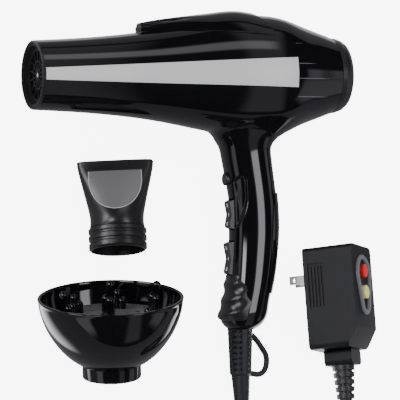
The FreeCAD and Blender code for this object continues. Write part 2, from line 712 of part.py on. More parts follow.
def plug_button(along):
    """A round button with a domed face and a flange that keeps it in the housing."""
    x0, x1 = PLUG_DEPTH - 5.0, PLUG_DEPTH + 3.4
    outline = [
        (x0, 0), (x0, 6.4), (x0 + 1.2, 6.4), (x0 + 1.2, PLUG_BUTTON_R), (x1 - 0.9, PLUG_BUTTON_R),
        (x1 - 0.2, PLUG_BUTTON_R - 1.2), (x1, 0),
    ]
    button = turned(outline, "x")
    button.translate(Vector(0, along, 0))
    return button


def plug_board():
    """The circuit board and relay inside the plug."""
    board = box(10, 11.6, -29, 29, -18, 18)
    relay = box(11.6, 25, -24, -6, -13, 13)
    return board.fuse(relay)


def plug_collar():
    """The split collar where the cord's sleeve leaves the plug."""
    low = -PLUG_LENGTH / 2
    collar = rounded_block(PLUG_SPLIT - 11.0, PLUG_SPLIT + 11.0, 6.0, 11.0, 3.5)
    collar.translate(Vector(0, low - 6.05, 0))
    neck = rod(8.0, (PLUG_SPLIT, low - 2, 0), (PLUG_SPLIT, low + 4, 0))
    return collar.fuse(neck).cut(rod(5.3, (PLUG_SPLIT, low - 20, 0), (PLUG_SPLIT, low + 10, 0)))


def plug_relief():
    """The ringed rubber sleeve below the plug's collar."""
    low = -PLUG_LENGTH / 2 - 12.15
    core = [(low + 14, 0), (low + 14, 5.2), (low, 5.2)]
    for ring in range(6):
        top = low - 5.4 * ring
        radius = 8.6 - 0.45 * ring
        core += [(top, radius), (top - 3.4, radius - 0.2)]
        core += [(top - 3.5, radius - 1.9), (top - 5.3, radius - 2.1)]
    end = low - 5.4 * 6
    core += [(end, 5.4), (end - 1.6, 4.6), (end - 1.6, 0)]
    sleeve = turned(core, "z")
    sleeve.rotate(Vector(0, 0, 0), Vector(1, 0, 0), -90)
    sleeve.translate(Vector(PLUG_SPLIT, 0, 0))
    return sleeve


# ---------------------------------------------------------------- attachments, on their collars
def nozzle_form(inset):
    outlet_x, outlet_y = NOZZLE_OUTLET
    waist = NOZZLE_WAIST
    stations = [
        (17.0, waist, waist, 2.0), (29.0, waist, waist - 1.4, 2.05),
        (41.0, waist + 2.6, waist - 6.0, 2.5), (54.0, outlet_x - 2.2, outlet_y + 2.4, 3.6),
        (62.5, outlet_x - 0.5, outlet_y + 0.3, 5.0), (NOZZLE_HEIGHT, outlet_x, outlet_y, 5.0),
    ]
    wires = []
    for z, half_x, half_y, squareness in stations:
        wires.append(oval(z, 0, half_x - inset, half_y - inset, squareness))
    return Part.makeLoft(wires, True, False)


def nozzle_arch():
    """The arch-shaped outline of the inset panels, (x, z)."""
    points = [(-19.8, 58.8), (19.8, 58.8)]
    for step in range(13):
        angle = math.pi * step / 12
        points.append((19.8 * math.cos(angle), 52.4 - 24.6 * math.sin(angle)))
    return points


def nozzle_pieces():
    outer = nozzle_form(0)
    collar = turned(
        [
            (0, 19.4), (0, 20.4), (1.4, COLLAR_R), (4.6, COLLAR_R), (5.4, COLLAR_R - 0.9),
            (6.8, COLLAR_R - 0.9), (7.4, COLLAR_R), (10.4, COLLAR_R), (11.2, COLLAR_R - 0.9),
            (12.4, COLLAR_R - 0.9), (13.0, COLLAR_R), (15.6, COLLAR_R), (16.4, 20.4), (18.6, 20.0),
            (18.6, 19.3),
        ],
        "z",
    )
    inner = nozzle_form(1.8)
    band = outer.cut(nozzle_form(1.0)).common(prism_y(nozzle_arch(), -40, 40))
    body = outer.cut([inner, band]).fuse(collar)
    return body, band


def diffuser_bowl():
    """The deep bowl with a rolled rim."""
    height, rim = DIFFUSER_HEIGHT, DIFFUSER_RIM_R
    outside = [
        (9.6, 21.6), (11.0, 24.0), (18.0, 33.4), (24.5, 39.2), (31.0, 43.8), (38.0, 47.6),
        (45.5, 50.5), (53.0, 52.4), (height - 2.0, rim - 0.5), (height - 0.6, rim), (height, rim - 0.8),
    ]
    inside = [(z + 0.9, r - 2.1) for z, r in outside[:-3]] + [(height, rim - 2.4)]
    inside[0] = (9.6, 19.6)
    return turned(outside + inside[::-1], "z")


def diffuser_collar():
    outline = [(0, 19.5), (0, COLLAR_R - 0.5), (1, COLLAR_R), (9.5, COLLAR_R), (9.5, 19.5)]
    return turned(outline, "z")


def diffuser_plate():
    """The perforated plate inside the bowl, with its clusters of hollow-tipped fingers."""
    z0 = DIFFUSER_PLATE_Z
    plate = turned([(z0, 0), (z0, 46.3), (z0 + 2, 46.9), (z0 + 2, 0)], "z")
    holes = []
    for radius, count in ((12.0, 8), (21.0, 14), (29.5, 20), (42.6, 30)):
        hole = rod(1.7, (radius, 0, z0 - 1), (radius, 0, z0 + 4))
        holes += ring_of(hole, count, Vector(0, 0, 1), 7.0)
    plate = plate.cut(holes)
    fingers = []
    for angle, distance, tall in FINGER_CLUSTERS:
        for turn, away, height in ((0, 0.0, tall), (60, 4.3, 0.62 * tall), (-60, 4.3, 0.62 * tall)):
            way = math.radians(angle + 180 + turn)
            x = distance * math.cos(math.radians(angle)) + away * math.cos(way)
            y = distance * math.sin(math.radians(angle)) + away * math.sin(way)
            stem_top = z0 + 2 + height - FINGER_R
            fingers.append(rod(FINGER_R, (x, y, z0 + 1), (x, y, stem_top)))
            fingers.append(Part.makeSphere(FINGER_R, Vector(x, y, stem_top)))
    return plate.fuse(fingers)


# ---------------------------------------------------------------- cord
def cord_coil():
    """The tied coil's outer shape: a flat ring with rounded edges."""
    half = COIL_WIDTH / 2
    inner, outer = COIL_RADIUS - half, COIL_RADIUS + half
    outline = [
        (0.0, inner + 3), (0.0, outer - 3), (3.0, outer), (COIL_HEIGHT - 3, outer),
        (COIL_HEIGHT, outer - 3), (COIL_HEIGHT, inner + 3), (COIL_HEIGHT - 3, inner), (3.0, inner),
    ]
    ring = turned(outline, "z")
    ring.translate(Vector(COIL_CENTRE[0], COIL_CENTRE[1], 0))
    return ring


def coil_tie():
    """The strap tied round the coil's turns at the far side."""
    y = COIL_CENTRE[1] - COIL_RADIUS
    half = COIL_WIDTH / 2
    x = COIL_CENTRE[0]
    block = box(x - 5, x + 5, y - half - 1.3, y + half + 1.3, 0, COIL_HEIGHT + 1.2)
    return block.cut(cord_coil())


def cord_tube(points, label):
    solid, length, radii = tube_along(points, CORD_R)
    expected = math.pi * CORD_R**2 * length
    print(label, "length", round(length, 1), "radii", [round(r) for r in radii],
          "volume ratio", round(solid.Volume / expected, 4))
    return solid


# ---------------------------------------------------------------- where things lie
def dryer_placement():
    return Placement(Vector(0, 0, DRYER_LIFT), Rotation(Vector(1, 0, 0), DRYER_ROLL - 90))


def plug_placement():
    turn = Rotation(Vector(0, 1, 0), -PLUG_TILT)
    middle = turn.multVec(Vector(PLUG_SPLIT, 0, 0))
    back_edge = turn.multVec(Vector(0, 0, -PLUG_WIDTH / 2))
    return Placement(Vector(PLUG_CENTRE[0] - middle.x, PLUG_CENTRE[1], -back_edge.z), turn)


def nozzle_placement():
    lay = Rotation(Vector(1, 0, 0), NOZZLE_TIP - 90)
    roll = Rotation(Vector(0, 0, 1), NOZZLE_ROLL)
    turn = Rotation(Vector(0, 0, 1), NOZZLE_TURN)
    return Placement(Vector(NOZZLE_CENTRE[0], NOZZLE_CENTRE[1], 0), turn.multiply(lay).multiply(roll))


def diffuser_placement():
    lay = Rotation(Vector(1, 0, 0), DIFFUSER_TIP - 90)
    turn = Rotation(Vector(0, 0, 1), DIFFUSER_TURN)
    return Placement(Vector(DIFFUSER_CENTRE[0], DIFFUSER_CENTRE[1], 0), turn.multiply(lay))


def laid(shape, placement, lift=0.0):
    """The shape where it lies, with the set's middle moved to the origin."""
    shift = Placement(Vector(-SET_CENTRE[0], -SET_CENTRE[1], lift), Rotation())
    copy = shape.copy()
    copy.Placement = shift.multiply(placement).multiply(copy.Placement)
    return copy


def height_off_table(shapes, placement):
    """How far a group of shapes has to be lifted to stand on the table."""
    return -min(laid(shape, placement).optimalBoundingBox(False, False).ZMin for shape in shapes)


def save(name, shape):
    solids = len(shape.Solids)
    if solids == 0 or not shape.isValid():
        print("BAD SHAPE", name, solids, shape.isValid())
    shape.exportStep(f"parts/{name}.step")


def save_group(pieces, placement, lift=0.0):
    for name, shape in pieces.items():
        save(name, laid(shape, placement, lift))


def dryer_pieces():
    front, rear = shells()
    pieces = {
        "front_shell": front, "rear_shell": rear, "grip_panel": back_panel(),
        "finger_grip": finger_grip(), "side_trim_left": trim_band(-1),
        "side_trim_right": trim_band(1), "top_fairing": top_fairing(),
        "nose_ring": nose_ring(), "outlet_grille": outlet_grille(), "grille_stud": grille_stud(),
        "heat_tube": heat_tube(), "heater_boards": heater_boards(),
        "heater_coils": Part.makeCompound(heater_rings(0.6)), "thermal_cutout": thermal_cutout(),
        "motor_mount": motor_mount(), "motor_can": motor_can(), "motor_rotor": motor_rotor(),
        "fan_impeller": fan_impeller(), "inlet_cover": inlet_cover(), "inlet_filter": inlet_filter(),
        "cool_shot_button": cool_shot_button(), "cool_shot_switch": cool_shot_switch(),
        "power_leads": lead_route(2.6), "cord_clamp": cord_clamp(), "shell_screws": shell_screws(),
        "handle_relief": handle_relief(),
    }
    for name, centre_z, half_height, proud in ROCKERS:
        pieces[f"{name}_rocker"] = rocker(centre_z, half_height, proud)
        pieces[f"{name}_switch_body"] = switch_body(centre_z, half_height)
    return pieces


def plug_pieces():
    back, front = plug_shells()
    pieces = {
        "plug_back_shell": back, "plug_front_shell": front, "plug_blades": plug_blades(),
        "plug_bezel": plug_bezel(), "plug_board": plug_board(), "plug_collar": plug_collar(),
        "plug_relief": plug_relief(),
    }
    for name, along in PLUG_BUTTONS:
        pieces[name] = plug_button(along)
    return pieces


def cord_pieces():
    return {
        "cord_from_handle": cord_tube(CORD_FROM_HANDLE, "cord from the handle"),
        "cord_coil": cord_coil(), "coil_tie": coil_tie(),
        "cord_to_plug": cord_tube(CORD_TO_PLUG, "cord to the plug"),
    }


def main():
    os.makedirs("parts", exist_ok=True)
    save_group(dryer_pieces(), dryer_placement())
    save_group(plug_pieces(), plug_placement())
    save_group(cord_pieces(), Placement())
    body, band = nozzle_pieces()
    nozzle = {"nozzle_body": body, "nozzle_panels": band}
    lift = height_off_table(nozzle.values(), nozzle_placement())
    save_group(nozzle, nozzle_placement(), lift)
    diffuser = {
        "diffuser_bowl": diffuser_bowl(), "diffuser_plate": diffuser_plate(),
        "diffuser_collar": diffuser_collar(),
    }
    lift = height_off_table(diffuser.values(), diffuser_placement())
    save_group(diffuser, diffuser_placement(), lift)


main()
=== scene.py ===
import json
import math

import bpy
import numpy as np
from mathutils import Matrix, Vector


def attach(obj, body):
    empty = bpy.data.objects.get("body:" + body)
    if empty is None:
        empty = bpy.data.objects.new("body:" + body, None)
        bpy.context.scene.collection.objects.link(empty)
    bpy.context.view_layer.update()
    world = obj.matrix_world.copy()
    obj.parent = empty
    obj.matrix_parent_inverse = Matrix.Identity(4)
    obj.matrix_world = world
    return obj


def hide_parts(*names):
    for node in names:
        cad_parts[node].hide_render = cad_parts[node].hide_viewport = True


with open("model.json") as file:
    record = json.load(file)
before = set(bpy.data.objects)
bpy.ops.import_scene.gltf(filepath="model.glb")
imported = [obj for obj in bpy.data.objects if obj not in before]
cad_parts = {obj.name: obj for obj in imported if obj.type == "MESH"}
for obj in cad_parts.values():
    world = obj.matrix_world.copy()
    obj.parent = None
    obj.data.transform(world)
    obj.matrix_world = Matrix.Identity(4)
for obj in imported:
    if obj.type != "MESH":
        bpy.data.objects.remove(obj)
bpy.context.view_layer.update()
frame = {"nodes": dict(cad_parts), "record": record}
NODES = frame["nodes"]

# All sizes below are in millimetres in the dryer's own upright frame (barrel along X with the nose
# towards -X, handle along -Z, left side towards -Y), and become metres in the row frame by to_row.
MM = 0.001
DRYER_ROLL = math.radians(9.3 - 90)
DRYER_PLACE = Vector((46.58, 105.55, 45.14))

# Outer radius of the barrel at stations along its axis.
BARREL_OUTLINE = [
    (-171.5, 25.4), (-167.5, 25.6), (-136.0, 27.2), (-112.0, 29.0), (-84.0, 32.0), (-59.0, 36.0),
    (-35.0, 40.7), (-14.0, 44.0), (10.0, 45.1), (28.0, 43.2), (46.6, 36.9), (59.0, 32.6),
    (69.5, 28.9), (73.5, 27.5),
]
BARREL_FRONT = -165.6
BARREL_REAR = 69.5
# Handle sections from the top down: (z, centre x, half depth, half width).
HANDLE_STATIONS = [
    (-16.0, 8.6, 42.0, 28.0), (-30.0, 8.0, 38.0, 26.0), (-38.0, 6.4, 31.6, 23.0),
    (-43.0, 3.2, 27.6, 20.8), (-47.5, 1.2, 23.8, 19.2), (-53.0, 0.7, 19.9, 18.0),
    (-60.0, 1.5, 18.7, 17.3), (-72.5, 3.4, 18.3, 16.9), (-88.0, 5.6, 18.1, 16.6),
    (-104.0, 6.7, 18.2, 16.6), (-120.0, 6.7, 18.1, 16.5), (-136.0, 5.5, 17.7, 16.4),
    (-150.0, 4.0, 17.3, 16.4), (-162.0, 2.0, 16.8, 16.4), (-172.0, -0.3, 17.1, 16.4),
    (-180.0, -2.0, 17.2, 16.0), (-185.0, -2.8, 15.3, 14.4), (-188.5, -3.3, 11.9, 11.8),
    (-190.0, -3.5, 9.5, 10.2),
]
SQUARENESS = 2.35
WALL = 2.0
FILLET = 5.0
SEAM_GAP = 0.12
# The joint between the two shells: (z, x) from the straight part down.
SEAM_CURVE = [
    (60.0, 27.2), (-18.0, 27.2), (-22.0, 21.1), (-28.5, 17.4), (-36.0, 15.2), (-52.0, 14.4),
    (-76.0, 15.4), (-104.0, 16.4), (-136.0, 15.0), (-172.0, 9.6), (-194.0, 6.5),
]
# Rocker switches on the front of the handle: (name, centre z, half height, proud).
ROCKERS = [("upper", -104.0, 11.0, 2.6), ("lower", -137.0, 12.6, 3.0)]
ROCKER_WINDOW_HALF = 5.8
ROCKER_GAP = 0.9
# Mesh columns across each side of the handle's front, its rocker windows, and its back.
SIDE_STEPS = 40
WINDOW_STEPS = 10
REAR_STEPS = 50
# The scooped thumb recess on each side of the handle: (z, front edge x, rear edge x).
SCOOP = [
    (-74.5, -7.5, -7.3), (-76.5, -11.5, -4.8), (-82.0, -13.2, -3.3), (-90.0, -12.6, -2.8),
    (-98.0, -12.0, -3.8), (-106.0, -11.6, -6.0), (-113.0, -11.2, -9.0), (-116.0, -10.9, -10.7),
]
SCOOP_DEPTH = 1.7
# Silver trim: (x, lower edge, upper edge) at its two ends.
TRIM_FRONT = (-165.2, -4.1, 4.6)
TRIM_REAR = (27.0, -10.1, 12.3)
# The cover on top of the barrel: (x, half width, edge height, ridge height).
FAIRING_STATIONS = [
    (-84.0, 6.5, 30.5, 39.0), (-79.0, 8.0, 30.5, 40.0), (-58.0, 16.5, 32.0, 43.3),
    (-27.0, 27.5, 32.5, 46.7), (-7.0, 32.5, 31.5, 48.4), (8.0, 34.0, 30.5, 46.6),
    (29.0, 34.5, 28.5, 45.0),
]
# Where that cover ends behind: (z, x).
FAIRING_REAR = [(49.0, 3.0), (46.0, 4.5), (41.8, 7.5), (36.0, 10.6), (28.4, 13.3), (20.0, 13.4)]
# Fine ribs on the rear shell, each side, coloured pale grey as painted highlight lines: where they
# start, then (z, far end x).
RIB_START = 27.5
REAR_RIBS = [(22.8, 33.7), (7.6, 44.0), (-3.5, 56.7), (-17.0, 56.6)]

# The plug, in its own frame: blades towards -X, length along Y.
PLUG_TILT = math.atan2(46.0 / 2 - 12.7 / 2 - 1.5 / 2, 17.0)
PLUG_CENTRE = (117.18, -62.95)
PLUG_SPLIT = 18.0
PLUG_WIDTH = 46.0
PLUG_DEPTH = 39.0

# The nozzle, in its own frame: standing on its collar, outlet upwards.
NOZZLE_PLACE = Vector((-54.42, -21.95, 22.387))
NOZZLE_TURNS = (-3.0, -93.0, -22.0)
# The diffuser, in its own frame: standing on its collar, bowl upwards.
DIFFUSER_PLACE = Vector((-69.42, -116.45, 30.84))
DIFFUSER_TURNS = (5.0, -69.0, 0.0)
# The bowl's outer radius at heights up to the rim, then the rolled rim: (height, radius).
BOWL_OUTLINE = [
    (9.6, 21.6), (11.0, 24.0), (18.0, 33.4), (24.5, 39.2), (31.0, 43.8), (38.0, 47.6),
    (45.5, 50.5), (53.0, 52.4), (58.0, 53.0),
]
BOWL_LIP = [(58.7, 53.35), (59.4, 53.5), (59.85, 53.2), (60.0, 52.6), (60.0, 51.5), (59.6, 51.1)]
# How much higher and farther in the bowl's inside is, and the height where its rolled rim starts.
BOWL_FOOT = 9.6
BOWL_RIM = 58.0
BOWL_WALL = (0.9, 2.1)
DIFFUSER_COLLAR = [
    (9.6, 19.6), (0.2, 19.6), (0.0, 19.9), (0.0, 21.0), (0.5, 21.5), (1.1, 21.6), (9.6, 21.6),
]
PLATE_TOP = 43.5
# Nozzle sections: (height, half width, half thickness, squareness).
NOZZLE_STATIONS = [
    (17.0, 20.6, 20.6, 2.0), (29.0, 20.6, 19.2, 2.05), (41.0, 23.2, 14.6, 2.5),
    (54.0, 26.1, 10.4, 3.6), (62.5, 27.8, 8.3, 5.0), (67.0, 28.3, 8.0, 5.0),
]

# The camera: turned from the dryer's left side towards its nose, far off, with a long lens.
CAMERA_YAW = math.radians(22.0)
CAMERA_ROLL = math.radians(0.7)
CAMERA_DISTANCE = 2.6
PICTURE_WIDTH = 0.300
# Where the dryer's own origin lies in the picture, as shares of its width from the middle.
PICTURE_SHIFT = (0.1075, 0.3110)

CORD_DIAMETER = 0.0075
COIL_CENTRE = (0.08058, -0.21645)
COIL_RADIUS = 0.0389
# The cord's own points on the table, in metres: out of the handle, and up to the plug.
CORD_FROM_HANDLE = [(0.04168, -0.15345, 0.0054), (0.04018, -0.18345, 0.0040)]
CORD_TO_PLUG = [
    (0.12018, -0.19745, 0.0124), (0.11978, -0.17845, 0.0202), (0.11798, -0.16145, 0.0282),
    (0.11718, -0.14755, 0.0291),
]

# Studio softboxes as the glossy surfaces see them.  A "side" box is an upright strip: its angle is
# measured round the handle from straight above the dryer towards +X, and its lean is along the
# handle.  A "long" box runs along the barrel: its angle is measured round the barrel towards +Y,
# and its lean is along the barrel.  (kind, from, to, lean from, lean to, softness, strength)
SOFTBOXES = [
    ("side", 15, 31, -0.16, 0.30, 0.03, 5.5),
    ("side", -58, -36, 0.04, 0.30, 0.03, 12.0),
    ("side", 62, 80, -0.10, 0.14, 0.05, 0.9),
    ("side", 58, 82, -0.60, -0.12, 0.08, 0.7),
    ("side", -86, -68, -0.12, 0.12, 0.05, 1.2),
    ("side", -86, -60, -0.85, -0.14, 0.08, 1.2),
    ("side", -88, -66, 0.20, 0.60, 0.06, 9.0),
    ("long", 50, 67, -0.05, 0.42, 0.06, 1.8),
    ("long", -75, 95, 0.20, 0.50, 0.06, 0.45),
]
# The glow of the dark surroundings between the softboxes, and of the even dome.
GLOW_BASE = 0.05
DOME_STRENGTH = 1.5
FLOOR_GLOW = 7.0
FLOOR_REFLECTED = 0.3
# Painted reflections: pale patches that glow in the table left and right of the diffuser, seen
# only by glossy rays, by their distance along X from the bowl's middle: (nearest edge, brightest,
# far edge), and how bright they are.
PAINTED_PATCH_MIDDLE = -0.075
PAINTED_REFLECTION_PATCHES = [(-0.048, -0.058, -0.100), (0.115, 0.130, 0.300)]
# Where the painted reflection patches fade in and out along Y.
PAINTED_PATCH_LENGTH = [(-0.175, -0.110), (-0.030, -0.060)]
PAINTED_PATCH_STRENGTH = 4.5
# A painted reflection: a pale strip that glows in the table beyond the dryer's top, seen only by glossy
# rays: where it fades in and out along Y, and how bright it is.
PAINTED_STRIP_EDGES = [(0.150, 0.162), (0.230, 0.195)]
PAINTED_STRIP_STRENGTH = 0.9


def to_row(x, y, z):
    """A point of the dryer's upright frame, in the row frame, in metres."""
    turned = Matrix.Rotation(DRYER_ROLL, 3, "X") @ Vector((x, y, z))
    return (turned + DRYER_PLACE) * MM


def plug_to_row(x, y, z):
    """A point of the plug's own frame, in the row frame, in metres."""
    turn = Matrix.Rotation(-PLUG_TILT, 3, "Y")
    middle = turn @ Vector((PLUG_SPLIT, 0, 0))
    back_edge = turn @ Vector((0, 0, -PLUG_WIDTH / 2))
    place = Vector((PLUG_CENTRE[0] - middle.x, PLUG_CENTRE[1], -back_edge.z))
    return (turn @ Vector((x, y, z)) + place) * MM


def turned_and_laid(point, turns, place):
    """A point of an attachment's own frame, in the row frame, in metres."""
    turn, lay, roll = (math.radians(angle) for angle in turns)
    way = Matrix.Rotation(turn, 3, "Z") @ Matrix.Rotation(lay, 3, "X") @ Matrix.Rotation(roll, 3, "Z")
    return (way @ Vector(point) + place) * MM


def nozzle_to_row(x, y, z):
    return turned_and_laid((x, y, z), NOZZLE_TURNS, NOZZLE_PLACE)


def diffuser_to_row(x, y, z):
    return turned_and_laid((x, y, z), DIFFUSER_TURNS, DIFFUSER_PLACE)


# ---------------------------------------------------------------- camera, floor and light
def set_camera():
    """A square picture from high above the table, along the dryer's left side."""
    turn = Matrix.Rotation(DRYER_ROLL, 3, "X")
    towards = turn @ Vector((-math.sin(CAMERA_YAW), -math.cos(CAMERA_YAW), 0))
    up = turn @ Vector((0, 0, 1))
    right = up.cross(towards)
    up_rolled = up * math.cos(CAMERA_ROLL) + right * math.sin(CAMERA_ROLL)
    right_rolled = right * math.cos(CAMERA_ROLL) - up * math.sin(CAMERA_ROLL)
    aside = right_rolled * PICTURE_SHIFT[0] + up_rolled * PICTURE_SHIFT[1]
    aim = to_row(0, 0, 0) - aside * PICTURE_WIDTH
    data = bpy.data.cameras.new("camera")
    data.sensor_width = 36
    data.lens = 36 * CAMERA_DISTANCE / PICTURE_WIDTH
    data.clip_end = 20
    camera = bpy.data.objects.new("camera", data)
    bpy.context.scene.collection.objects.link(camera)
    axes = Matrix((right_rolled, up_rolled, towards)).transposed()
    camera.matrix_world = Matrix.Translation(aim + towards * CAMERA_DISTANCE) @ axes.to_4x4()
    bpy.context.scene.camera = camera


def math_node(tree, operation, *values):
    node = tree.nodes.new("ShaderNodeMath")
    node.operation = operation
    for socket, value in zip(node.inputs, values):
        if isinstance(value, (int, float)):
            socket.default_value = value
        else:
            tree.links.new(value, socket)
    return node.outputs[0]


def soft_step(tree, value, low, high):
    """A smooth rise from 0 at low to 1 at high."""
    node = tree.nodes.new("ShaderNodeMapRange")
    node.interpolation_type = "SMOOTHSTEP"
    node.inputs["From Min"].default_value = low
    node.inputs["From Max"].default_value = high
    tree.links.new(value, node.inputs["Value"])
    return node.outputs["Result"]


def soft_band(tree, value, low, high, softness):
    rise = soft_step(tree, value, low - softness, low + softness)
    fall = soft_step(tree, value, high - softness, high + softness)
    return math_node(tree, "SUBTRACT", rise, fall)


def along_direction(tree, direction, axis):
    """How far a direction or a place reaches along an axis."""
    node = tree.nodes.new("ShaderNodeVectorMath")
    node.operation = "DOT_PRODUCT"
    node.inputs[1].default_value = axis
    tree.links.new(direction, node.inputs[0])
    return node.outputs["Value"]


def set_world():
    """An even white dome for the floor and matt surfaces, and softboxes for the glossy ones."""
    world = bpy.data.worlds.new("studio")
    bpy.context.scene.world = world
    world.use_nodes = True
    tree = world.node_tree
    direction = tree.nodes.new("ShaderNodeTexCoord").outputs["Generated"]
    turn = Matrix.Rotation(DRYER_ROLL, 3, "X")
    along = along_direction(tree, direction, (1, 0, 0))
    above = along_direction(tree, direction, turn @ Vector((0, -1, 0)))
    beside = along_direction(tree, direction, turn @ Vector((0, 0, 1)))
    side_angle = math_node(tree, "ARCTAN2", along, above)
    long_angle = math_node(tree, "ARCTAN2", beside, above)
    glow = soft_step(tree, above, -0.2, 1.6)
    for kind, start, end, lean_start, lean_end, softness, strength in SOFTBOXES:
        angle, lean = (side_angle, beside) if kind == "side" else (long_angle, along)
        round_it = soft_band(tree, angle, math.radians(start), math.radians(end), softness)
        on_lean = soft_band(tree, lean, lean_start, lean_end, softness)
        box = math_node(tree, "MULTIPLY", round_it, on_lean)
        glow = math_node(tree, "ADD", glow, math_node(tree, "MULTIPLY", box, strength / GLOW_BASE))
    studio = tree.nodes["Background"]
    studio.inputs["Color"].default_value = (0.96, 0.94, 1.0, 1)
    tree.links.new(math_node(tree, "MULTIPLY", glow, GLOW_BASE), studio.inputs["Strength"])
    dome = tree.nodes.new("ShaderNodeBackground")
    dome.inputs["Strength"].default_value = DOME_STRENGTH
    dome.inputs["Color"].default_value = (1, 1, 1, 1)
    mix = tree.nodes.new("ShaderNodeMixShader")
    path = tree.nodes.new("ShaderNodeLightPath")
    tree.links.new(path.outputs["Is Glossy Ray"], mix.inputs["Fac"])
    tree.links.new(dome.outputs["Background"], mix.inputs[1])
    tree.links.new(studio.outputs["Background"], mix.inputs[2])
    tree.links.new(mix.outputs["Shader"], tree.nodes["World Output"].inputs["Surface"])


def painted_reflection_glow(tree):
    """How bright the table looks in reflections: dim, but for the painted reflection patches and strip
    that glow in it.
    """
    place = tree.nodes.new("ShaderNodeTexCoord").outputs["Object"]
    aside = math_node(tree, "SUBTRACT", along_direction(tree, place, (1, 0, 0)), PAINTED_PATCH_MIDDLE)
    glow = FLOOR_REFLECTED
    forward = along_direction(tree, place, (0, 1, 0))
    painted_strip, patch_length = (
        math_node(tree, "MULTIPLY", *(soft_step(tree, forward, *edge) for edge in edges))
        for edges in (PAINTED_STRIP_EDGES, PAINTED_PATCH_LENGTH)
    )
    # The painted reflection strip, which puts a sheen on the barrel's top rim.
    glow = math_node(tree, "MULTIPLY_ADD", painted_strip, PAINTED_STRIP_STRENGTH, glow)
    for near, brightest, far in PAINTED_REFLECTION_PATCHES:
        rise = soft_step(tree, aside, near, brightest)
        fall = soft_step(tree, aside, far, brightest)
        patch = math_node(tree, "MULTIPLY", math_node(tree, "MULTIPLY", rise, fall), patch_length)
        glow = math_node(tree, "MULTIPLY_ADD", patch, PAINTED_PATCH_STRENGTH, glow)
    return glow


def set_floor():
    """A white table, which the glossy surfaces see as a dimmer one with painted reflections glowing in
    it.
    """
    bpy.ops.mesh.primitive_plane_add(size=6, location=(0, 0, -0.0002))
    floor = bpy.context.object
    floor.name = "floor"
    material = bpy.data.materials.new("table_white")
    material.use_nodes = True
    tree = material.node_tree
    white = tree.nodes["Principled BSDF"]
    white.inputs["Base Color"].default_value = (0.95, 0.95, 0.95, 1)
    white.inputs["Roughness"].default_value = 0.8
    white.inputs["Specular IOR Level"].default_value = 0.1
    white.inputs["Emission Color"].default_value = (1, 1, 1, 1)
    # Seen only by glossy rays: the dimmer table with its painted reflection patches and strip.
    dim = tree.nodes.new("ShaderNodeEmission")
    dim.inputs["Color"].default_value = (0.96, 0.94, 1.0, 1)
    tree.links.new(painted_reflection_glow(tree), dim.inputs["Strength"])
    mix = tree.nodes.new("ShaderNodeMixShader")
    path = tree.nodes.new("ShaderNodeLightPath")
    seen_glow = math_node(tree, "MULTIPLY", path.outputs["Is Camera Ray"], FLOOR_GLOW)
    tree.links.new(seen_glow, white.inputs["Emission Strength"])
    tree.links.new(path.outputs["Is Glossy Ray"], mix.inputs["Fac"])
    tree.links.new(white.outputs["BSDF"], mix.inputs[1])
    tree.links.new(dim.outputs["Emission"], mix.inputs[2])
    tree.links.new(mix.outputs["Shader"], tree.nodes["Material Output"].inputs["Surface"])
    floor.data.materials.append(material)


# ---------------------------------------------------------------- materials
def new_material(
    name, colour, roughness, metallic=0.0, shine=0.5, wear=0.06, grain=900.0, bump=0.02,
):
    """A moulded or plated surface: uneven gloss, faint colour drift and a fine grain."""
    material = bpy.data.materials.new(name)
    material.use_nodes = True
    tree = material.node_tree
    shader = tree.nodes["Principled BSDF"]
    shader.inputs["Metallic"].default_value = metallic
    shader.inputs["Specular IOR Level"].default_value = shine
    place = tree.nodes.new("ShaderNodeTexCoord")
    drift = tree.nodes.new("ShaderNodeTexNoise")
    drift.inputs["Scale"].default_value = 35
    drift.inputs["Detail"].default_value = 4
    tree.links.new(place.outputs["Object"], drift.inputs["Vector"])
    tint = tree.nodes.new("ShaderNodeMix")
    tint.data_type = "RGBA"
    tint.inputs["A"].default_value = (*[c * (1 - wear) for c in colour], 1)
    tint.inputs["B"].default_value = (*[min(1, c * (1 + wear) + 0.001) for c in colour], 1)
    tree.links.new(drift.outputs["Fac"], tint.inputs["Factor"])
    tree.links.new(tint.outputs["Result"], shader.inputs["Base Color"])
    gloss = tree.nodes.new("ShaderNodeMapRange")
    gloss.inputs["To Min"].default_value = max(0.0, roughness * (1 - 2 * wear))
    gloss.inputs["To Max"].default_value = min(1.0, roughness * (1 + 3 * wear))
    tree.links.new(drift.outputs["Fac"], gloss.inputs["Value"])
    tree.links.new(gloss.outputs["Result"], shader.inputs["Roughness"])
    fine = tree.nodes.new("ShaderNodeTexNoise")
    fine.inputs["Scale"].default_value = grain
    fine.inputs["Detail"].default_value = 2
    tree.links.new(place.outputs["Object"], fine.inputs["Vector"])
    relief = tree.nodes.new("ShaderNodeBump")
    relief.inputs["Strength"].default_value = bump
    relief.inputs["Distance"].default_value = 0.0002
    tree.links.new(fine.outputs["Fac"], relief.inputs["Height"])
    tree.links.new(relief.outputs["Normal"], shader.inputs["Normal"])
    return material


